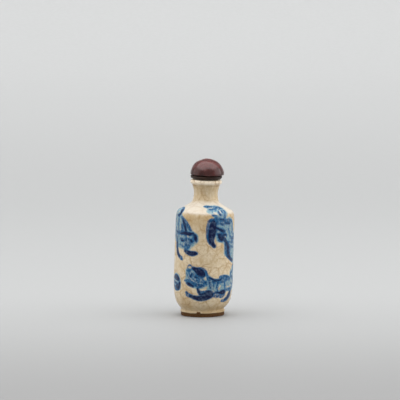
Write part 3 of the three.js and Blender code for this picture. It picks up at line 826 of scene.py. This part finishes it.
def stained_glaze(tree, place, glaze, clean, neck):
    """Ivory glaze, unevenly stained: brown under the shoulder, in runs on the neck and darker towards the
    foot. It has painted highlight on the paler shoulder and the palest lip, and painted shade under the
    lip.
    """
    stain_and_darkening = patches(tree, place, 7.0, between=(0.42, 0.7), gives=(0.0, 0.42), detail=4.0, roughness=0.6)
    below_shoulder = band(tree, SHOULDER_FROM - 3.5, half_width=9.0, core=0.0, strength=0.42)
    # Darker towards the foot, with the stain colour laid on more thickly low on the body
    above_foot = zone(tree, between=(8.0, 3.0), gives=(0.0, 0.3))
    for more in (below_shoulder, above_foot):
        stain_and_darkening = add_node(tree, "ShaderNodeMath", (stain_and_darkening, more), operation="ADD")
    ground = coat(tree, glaze.cream, glaze.stain, stain_and_darkening)
    mottle = patches(tree, place, 1.3, between=(0.35, 0.65), gives=(0.0, 0.22), detail=4.0, roughness=0.65)
    ground = coat(tree, ground, glaze.stain, mottle)
    # The shoulder glaze is paler: partly less stain, partly a painted highlight from the top light
    ground = coat(tree, ground, glaze.clean, clean)
    drawn = add_node(tree, "ShaderNodeMapping", {"Vector": place, "Scale": (1.0, 1.0, 0.15)})
    runs = patches(tree, drawn, 1.7, between=(0.35, 0.6), gives=(0.05, 0.4), detail=4.0, roughness=0.6)
    ground = coat(tree, ground, glaze.stain, runs, neck)
    # A dark line under the lip: painted shade in the crease beneath it, with some stain
    shade_and_stain_under_lip = band(tree, LIP_FROM - 0.7, half_width=0.7, core=0.1, strength=1.0)
    uneven_shade_and_grime = patches(tree, place, 4.0, between=(0.3, 0.6), gives=(0.1, 0.5))
    ground = coat(tree, ground, glaze.crackle, shade_and_stain_under_lip, uneven_shade_and_grime)
    # The lip is palest: partly its glaze, partly a painted highlight from the top light
    lip = zone(tree, between=(LIP_FROM - 0.1, LIP_FROM + 0.7), gives=(0.0, 0.8))
    return coat(tree, ground, glaze.rim, lip)


def crackled_glaze(tree, place, glaze):
    """The stained glaze with two ages of crackle: bold brown lines, and fainter ones between.

    Both are sparser on the paler shoulder, whose pale glaze is partly a painted highlight, on the neck and
    low on the body.
    """
    # Where the shoulder is paler, partly as a painted highlight
    clean = stretch(
        tree, (SHOULDER_FROM - 1.0, SHOULDER_FROM + 1.0), (NECK_FROM + 1.0, NECK_FROM - 2.5), strength=0.85,
    )
    neck = stretch(tree, (NECK_FROM - 0.5, NECK_FROM + 2.0), (LIP_FROM + 0.5, LIP_FROM - 0.5))
    quiet_neck = add_node(tree, "ShaderNodeMath", (neck, 0.7), operation="MULTIPLY")
    spared = add_node(tree, "ShaderNodeMath", (clean, quiet_neck), operation="MAXIMUM")
    sparse = add_node(tree, "ShaderNodeMath", (spared, -0.8, 1.0), operation="MULTIPLY_ADD")
    low_down = zone(tree, between=(3.0, 12.0), gives=(0.5, 1.0))
    patchy = patches(tree, place, 6.0, between=(0.35, 0.6), gives=(0.35, 1.0))
    for less in (sparse, low_down):
        patchy = add_node(tree, "ShaderNodeMath", (patchy, less), operation="MULTIPLY")
    bold = crackle_edges(tree, place, glaze.cell_mm * 1.5)
    fine = crackle_edges(tree, place, glaze.cell_mm * 0.65)
    ground = stained_glaze(tree, place, glaze, clean, neck)
    # Each line: its crackle, how far off it has faded out, how near it is full, its strength and its colour
    for distance, faded, full, strength, colour in (
        (bold, 1.1, 0.0, 0.35, glaze.stain),
        (fine, 0.16, 0.03, 0.4, glaze.crackle),
        (bold, 0.16, 0.04, 0.55, glaze.crackle),
    ):
        fade = (distance, faded, full, 0.0, strength)
        line = add_node(tree, "ShaderNodeMapRange", fade, interpolation_type="SMOOTHSTEP")
        ground = coat(tree, ground, colour, line, patchy)
    return ground, add_node(tree, "ShaderNodeMath", (bold, fine), operation="MINIMUM")


def cobalt_layers(tree, place, ground, cobalt):
    """Cobalt under the glaze: a thin streaky wash, a second coat, and pooled darks that bleed out."""
    wander = wandering(tree, place, 0.9, reach_mm=0.5)
    upright = add_node(tree, "ShaderNodeMapping", {"Vector": place, "Scale": (1.0, 1.0, 0.35)})
    streaks = add_node(
        tree, "ShaderNodeTexNoise",
        {"Vector": upright, "Scale": per_mm(1.0), "Detail": 3.0, "Roughness": 0.6},
    )
    hatching = add_node(
        tree, "ShaderNodeTexNoise",
        {"Vector": place, "Scale": per_mm(1.1), "Detail": 2.0, "Distortion": 1.4},
    )
    pooled = add_node(
        tree, "ShaderNodeTexNoise",
        {"Vector": place, "Scale": per_mm(1.4), "Detail": 3.0, "Roughness": 0.6},
    )
    painted = ragged_edge(tree, "bare", wander, between=(0.2, -0.1), gives=(1.0, 0.25))
    # Each coat: its layer, where its edge fades in, what makes it uneven and between which values, how
    # thinly and how thickly it lies there, and its blue
    for name, edge, unevenness, between, load, blue in (
        ("wash", (0.7, -0.1), streaks, (0.35, 0.55), (0.6, 0.95), cobalt.pale),
        ("wash", (0.0, -0.5), hatching, (0.46, 0.58), (0.0, 0.6), cobalt.middle),
        ("dark", (0.6, 0.0), pooled, (0.3, 0.65), (0.8, 1.0), cobalt.middle),
        ("tone", (0.35, -0.2), streaks, (0.35, 0.6), (0.6, 1.0), cobalt.middle),
        ("tone", (0.0, -0.5), hatching, (0.45, 0.6), (0.0, 0.65), cobalt.deep),
        ("dark", (0.15, -0.35), pooled, (0.34, 0.56), (0.6, 1.0), cobalt.deep),
    ):
        stroke = ragged_edge(tree, name, wander, edge)
        lies = (unevenness, *between, *load)
        body = add_node(tree, "ShaderNodeMapRange", lies, interpolation_type="SMOOTHSTEP")
        ground = coat(tree, ground, blue, stroke, body, painted)
    return ground


def porcelain_material(glaze, cobalt):
    """Crackle-glazed porcelain: a soft deep gloss over stained ivory and cobalt, and a dull brown foot."""
    material, tree, shader, place = new_material(
        "Crackle glaze over cobalt", ior=1.5, roughness=GLAZE_ROUGHNESS, shine=0.22,
    )
    ground, hairline = crackled_glaze(tree, place, glaze)
    painted = cobalt_layers(tree, place, ground, cobalt)
    wander = wandering(tree, place, 3.0, reach_mm=0.9)
    above = ragged_edge(tree, "glazed", wander, between=(-0.12, 0.12))
    beneath = zone(tree, between=(RECESS_LINE + 0.2, RECESS_LINE - 0.2))
    glazed = add_node(tree, "ShaderNodeMath", (above, beneath), operation="MAXIMUM")
    grit = patches(tree, place, 0.5, between=(0.3, 0.75), detail=4.0, roughness=0.7)
    colour = coat(tree, coat(tree, glaze.foot, glaze.grit, grit), painted, glazed)
    polish = (glazed, 0.0, 1.0, CLAY_ROUGHNESS, GLAZE_ROUGHNESS)
    dull = add_node(tree, "ShaderNodeMapRange", polish, interpolation_type="SMOOTHSTEP")
    ripple = add_node(tree, "ShaderNodeTexNoise", {"Vector": place, "Scale": per_mm(3.0), "Detail": 2.0})
    sunk = (hairline, 0.0, 0.15, -0.3, 0.0)
    groove = add_node(tree, "ShaderNodeMapRange", sunk, interpolation_type="SMOOTHSTEP")
    height = add_node(tree, "ShaderNodeMath", (ripple, groove), operation="ADD")
    relief = add_node(tree, "ShaderNodeBump", {"Height": height, "Strength": 0.25, "Distance": 0.15 * MM})
    join_inputs(tree, shader, {"Base Color": colour, "Roughness": dull, "Normal": relief})
    return material


def hardstone_material(stopper):
    """Polished maroon stone: red-brown mottling, paler to the crown as painted top light, finely
    dark-veined, softly polished.
    """
    material, tree, shader, place = new_material(
        "Polished maroon hardstone", ior=1.54, roughness=0.2, shine=0.45,
    )
    # Paler towards the crown: painted top light
    crown = grade(tree, place, "Z", between=(DOME_FOOT, DOME_TOP), gives=(0.0, 0.6))
    mottle = patches(tree, place, 3.6, between=(0.4, 0.66), gives=(0.0, 0.45), detail=4.0, roughness=0.6)
    mottle_and_top_light = add_node(tree, "ShaderNodeMath", (mottle, crown), operation="ADD")
    veined = (crackle_edges(tree, place, 6.0), 0.3, 0.0, 0.0, 0.3)
    veins = add_node(tree, "ShaderNodeMapRange", veined, interpolation_type="SMOOTHSTEP")
    colour = coat(tree, coat(tree, stopper.stone, stopper.cloud_and_top_light, mottle_and_top_light), stopper.vein, veins)
    polish = patches(tree, place, 2.5, between=(0.35, 0.65), gives=(0.14, 0.34))
    ripple = add_node(tree, "ShaderNodeTexNoise", {"Vector": place, "Scale": per_mm(2.6), "Detail": 3.0})
    relief = add_node(tree, "ShaderNodeBump", {"Height": ripple, "Strength": 0.5, "Distance": 0.3 * MM})
    join_inputs(tree, shader, {"Base Color": colour, "Roughness": polish, "Normal": relief})
    return material


def horn_material(stopper):
    """Turned dark horn: near black with faint brown streaks round it and a dull polish."""
    material, tree, shader, place = new_material("Turned dark horn", ior=1.54, roughness=0.36, shine=0.2)
    flat = add_node(tree, "ShaderNodeMapping", {"Vector": place, "Scale": (1.0, 1.0, 6.0)})
    streaks = patches(tree, flat, 2.5, between=(0.45, 0.75), detail=4.0)
    polish = patches(tree, place, 1.0, between=(0.3, 0.7), gives=(0.28, 0.42))
    colour = coat(tree, stopper.horn, stopper.streak, streaks)
    join_inputs(tree, shader, {"Base Color": colour, "Roughness": polish})
    return material


def cork_material(stopper):
    """Cut cork: warm tan grain with small dark pits, fully dull."""
    material, tree, shader, place = new_material("Cut cork", ior=1.45, roughness=0.92)
    grain = add_node(
        tree, "ShaderNodeTexNoise",
        {"Vector": place, "Scale": per_mm(1.2), "Detail": 6.0, "Roughness": 0.7},
    )
    pits = patches(tree, place, 0.6, between=(0.62, 0.7), detail=2.0)
    colour = coat(tree, coat(tree, stopper.cork, stopper.tan, grain), stopper.pit, pits)
    relief = add_node(tree, "ShaderNodeBump", {"Height": grain, "Strength": 0.6, "Distance": 0.2 * MM})
    join_inputs(tree, shader, {"Base Color": colour, "Normal": relief})
    return material


def paper_material():
    """Matt paper for the floor and the sweep behind, paler the further back it goes: painted shade that
    stands in for the falloff of the light.
    """
    material, tree, shader, place = new_material("Matt paper with painted falloff", ior=1.45, roughness=0.6)
    # Painted shade: the paper is darker towards the camera, in place of the falloff of the light
    nearer = grade(tree, place, "Y", between=(-0.3, 0.1))
    further = grade(tree, place, "Y", between=(0.4, 1.5))
    fibres = patches(tree, place, 3.0, between=(0.3, 0.7), gives=(0.0, 0.04))
    tone = coat(tree, linear(PAPER_NEAR), linear(PAPER_MIDDLE), nearer)
    tone = coat(tree, tone, linear(PAPER_FAR), further)
    join_inputs(tree, shader, {"Base Color": coat(tree, tone, linear(PAPER_FIBRES), fibres)})
    return material


def join_frame(piece, node):
    """Makes a finished piece stand for its solid and ride with it."""
    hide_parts(node)
    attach(piece, BODY)


class SNUFF_OT_bottle(bpy.types.Operator):
    """Turn the porcelain bottle from the solid's own outline, and glaze and paint it."""

    bl_idname = "snuff.bottle"
    bl_label = "Porcelain Bottle"

    def execute(self, context):
        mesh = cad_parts["bottle"].data.copy()
        mesh.materials.clear()
        piece = bpy.data.objects.new("porcelain_bottle", mesh)
        context.scene.collection.objects.link(piece)
        keep_meridian(piece)
        smooth_outline(piece)
        thin_outline(piece)
        turn_outline(piece)
        paint(piece)
        roughen(piece, amount=0.1 * MM, size=11 * MM, seed=(3.1, 0.7, 5.3))
        lean_over(piece)
        only(piece)
        bpy.ops.object.shade_smooth_by_angle(angle=SMOOTH_SHADED)
        piece.data.name = piece.name
        settings = context.scene
        piece.data.materials.append(
            porcelain_material(settings.snuff_bottle_glaze, settings.snuff_bottle_cobalt)
        )
        join_frame(piece, "bottle")
        return {"FINISHED"}


class SNUFF_OT_dome(bpy.types.Operator):
    """Cut and polish the stone dome of the stopper."""

    bl_idname = "snuff.dome"
    bl_label = "Stone Dome"

    def execute(self, context):
        low, high = upright_box("stopper_dome")
        radius = (high.y - low.y) / 2
        skirt = low.z + DOME_SKIRT
        rings = [(radius - DOME_TUCK, low.z), (radius, skirt)]
        for step in range(1, DOME_RINGS):
            angle = math.pi / 2 * step / DOME_RINGS
            rings.append((radius * math.cos(angle), skirt + (high.z - skirt) * math.sin(angle)))
        piece = turned_piece("stone_dome", rings, STOPPER_TURNS, centre_x=(low.x + high.x) / 2)
        soften(piece, width=0.25 * MM, segments=4, corner=SHARP_CORNER)
        roughen(piece, amount=0.2 * MM, size=3.6 * MM, seed=(1.7, 4.2, 0.4))
        lean_over(piece)
        piece.data.materials.append(hardstone_material(context.scene.snuff_bottle_stopper))
        join_frame(piece, "stopper_dome")
        return {"FINISHED"}


class SNUFF_OT_collar(bpy.types.Operator):
    """Turn the dark horn collar under the dome."""

    bl_idname = "snuff.collar"
    bl_label = "Horn Collar"

    def execute(self, context):
        low, high = upright_box("stopper_collar")
        radius = (high.y - low.y) / 2
        thick = high.z - low.z
        rings = [(radius - tuck, low.z + share * thick) for tuck, share in COLLAR_OUTLINE]
        piece = turned_piece("horn_collar", rings, STOPPER_TURNS)
        soften(piece, width=0.3 * MM, segments=4, corner=math.radians(20))
        roughen(piece, amount=0.05 * MM, size=4 * MM, seed=(0.2, 7.7, 2.9))
        lean_over(piece)
        piece.data.materials.append(horn_material(context.scene.snuff_bottle_stopper))
        join_frame(piece, "stopper_collar")
        return {"FINISHED"}


class SNUFF_OT_cork(bpy.types.Operator):
    """Cut the cork plug that sits in the bore."""

    bl_idname = "snuff.cork"
    bl_label = "Cork Plug"

    def execute(self, context):
        low, high = upright_box("stopper_cork")
        radius = (high.y - low.y) / 2
        rings = [
            (radius - CORK_TAPER - CORK_EDGE, low.z),
            (radius - CORK_TAPER, low.z + CORK_EDGE),
            (radius - CORK_TAPER / 2, (low.z + high.z) / 2),
            (radius, high.z),
        ]
        piece = turned_piece("cork_plug", rings, CORK_TURNS)
        soften(piece, width=0.15 * MM, segments=3, corner=SHARP_CORNER)
        roughen(piece, amount=0.05 * MM, size=1 * MM, seed=(6.6, 1.4, 3.3))
        lean_over(piece)
        piece.data.materials.append(cork_material(context.scene.snuff_bottle_stopper))
        join_frame(piece, "stopper_cork")
        return {"FINISHED"}


class SNUFF_OT_studio(bpy.types.Operator):
    """Lay the pale sweep, and set the soft lights and the camera."""

    bl_idname = "snuff.studio"
    bl_label = "Studio"

    def execute(self, context):
        studio = context.scene.snuff_bottle_studio
        lay_sweep()
        set_lights(studio)
        set_camera(studio)
        return {"FINISHED"}


def lay_sweep():
    """A pale floor that curves up into a backdrop far behind the bottle."""
    bpy.ops.object.select_all(action="DESELECT")
    bpy.ops.mesh.primitive_plane_add(size=SWEEP_WIDTH)
    sweep = bpy.context.object
    sweep.name = sweep.data.name = "paper_sweep"
    shape = edit(sweep)
    bpy.ops.mesh.select_all(action="SELECT")
    bpy.ops.transform.translate(value=(0, SWEEP_BACK - SWEEP_WIDTH / 2, 0))
    bpy.ops.mesh.select_all(action="DESELECT")
    for edge in shape.edges:
        edge.select_set(all(v.co.y > SWEEP_BACK - MM for v in edge.verts))
    bpy.ops.mesh.extrude_region_move(TRANSFORM_OT_translate={"value": (0, 0, SWEEP_HEIGHT)})
    bpy.ops.object.mode_set(mode="OBJECT")
    soften(sweep, width=SWEEP_CURVE, segments=SWEEP_CURVE_STEPS, corner=SHARP_CORNER)
    bpy.ops.object.shade_smooth()
    sweep.data.materials.append(paper_material())


def set_lights(studio):
    """Wide softboxes over the bottle and over the backdrop, one on each side, and a dim pale surround."""
    left_power, right_power = LEFT_SHARE * studio.side_power, RIGHT_SHARE * studio.side_power
    # Each softbox: its name, power, place, turn in degrees, and width and depth
    boxes = (
        ("top_softbox", studio.top_power, (0.0, -0.2, 1.2), (0.0, 0.0, 0.0), (2.8, 1.5)),
        ("back_softbox", studio.back_power, (0.0, 1.5, 2.0), (0.0, 0.0, 0.0), (3.0, 1.4)),
        ("left_softbox", left_power, (-1.2, 0.0, 0.4), (0.0, -80.0, 0.0), (0.8, 1.2)),
        ("right_softbox", right_power, (1.2, 0.0, 0.4), (0.0, 80.0, 0.0), (0.8, 1.2)),
    )
    for name, power, place, turn, size in boxes:
        turned = [math.radians(angle) for angle in turn]
        bpy.ops.object.light_add(type="AREA", location=place, rotation=turned)
        light = bpy.context.object
        light.name = light.data.name = name
        light.data.energy = power
        light.data.shape = "RECTANGLE"
        light.data.size, light.data.size_y = size
    # The softbox over the backdrop is carded off, so that no glaze or polish mirrors it.
    bpy.data.objects["back_softbox"].visible_glossy = False
    world = bpy.data.worlds.new("Pale surround")
    world.use_nodes = True
    surround = world.node_tree.nodes["Background"]
    surround.inputs["Color"].default_value = linear(SURROUND)
    surround.inputs["Strength"].default_value = studio.surround
    bpy.context.scene.world = world


def set_camera(studio):
    """A long lens a little above the bottle, aimed above it so that it stands low in the frame."""
    aim = Vector((PICTURE_X, 0, PICTURE_Z))
    back = Vector((0, -math.cos(studio.elevation), math.sin(studio.elevation)))
    bpy.ops.object.camera_add(
        location=aim + back * studio.distance,
        rotation=(math.pi / 2 - studio.elevation, 0, 0),
    )
    camera = bpy.context.object
    camera.name = camera.data.name = "camera"
    camera.data.lens = camera.data.sensor_width * studio.distance / studio.field
    camera.data.clip_end = FURTHEST_SEEN
    bpy.context.scene.camera = camera
    bpy.context.scene.view_settings.view_transform = "Standard"


class SNUFF_PT_panel(bpy.types.Panel):
    """Every piece of the bottle, and the studio."""

    bl_idname = "SNUFF_PT_panel"
    bl_label = "Snuff Bottle"
    bl_space_type = "VIEW_3D"
    bl_region_type = "UI"
    bl_category = "Snuff Bottle"

    def draw(self, context):
        for group in SETTINGS:
            settings = getattr(context.scene, group)
            for name in settings.bl_rna.properties.keys():
                if name not in ("rna_type", "name"):
                    self.layout.prop(settings, name)
        for operator in OPERATORS:
            self.layout.operator(operator.bl_idname)


SETTINGS = {
    "snuff_bottle_glaze": SnuffBottleGlaze,
    "snuff_bottle_cobalt": SnuffBottleCobalt,
    "snuff_bottle_stopper": SnuffBottleStopper,
    "snuff_bottle_studio": SnuffBottleStudio,
}
OPERATORS = (SNUFF_OT_bottle, SNUFF_OT_dome, SNUFF_OT_collar, SNUFF_OT_cork, SNUFF_OT_studio)


def register():
    """Adds the settings, the operators and the panel."""
    for name, group in SETTINGS.items():
        bpy.utils.register_class(group)
        setattr(bpy.types.Scene, name, bpy.props.PointerProperty(type=group))
    for item in (*OPERATORS, SNUFF_PT_panel):
        bpy.utils.register_class(item)


def unregister():
    """Takes them away again."""
    for item in (SNUFF_PT_panel, *reversed(OPERATORS)):
        bpy.utils.unregister_class(item)
    for name, group in SETTINGS.items():
        delattr(bpy.types.Scene, name)
        bpy.utils.unregister_class(group)


def main():
    """Makes every piece and the studio."""
    register()
    bpy.ops.snuff.bottle()
    bpy.ops.snuff.collar()
    bpy.ops.snuff.dome()
    bpy.ops.snuff.cork()
    bpy.ops.snuff.studio()


if __name__ == "__main__":
    main()
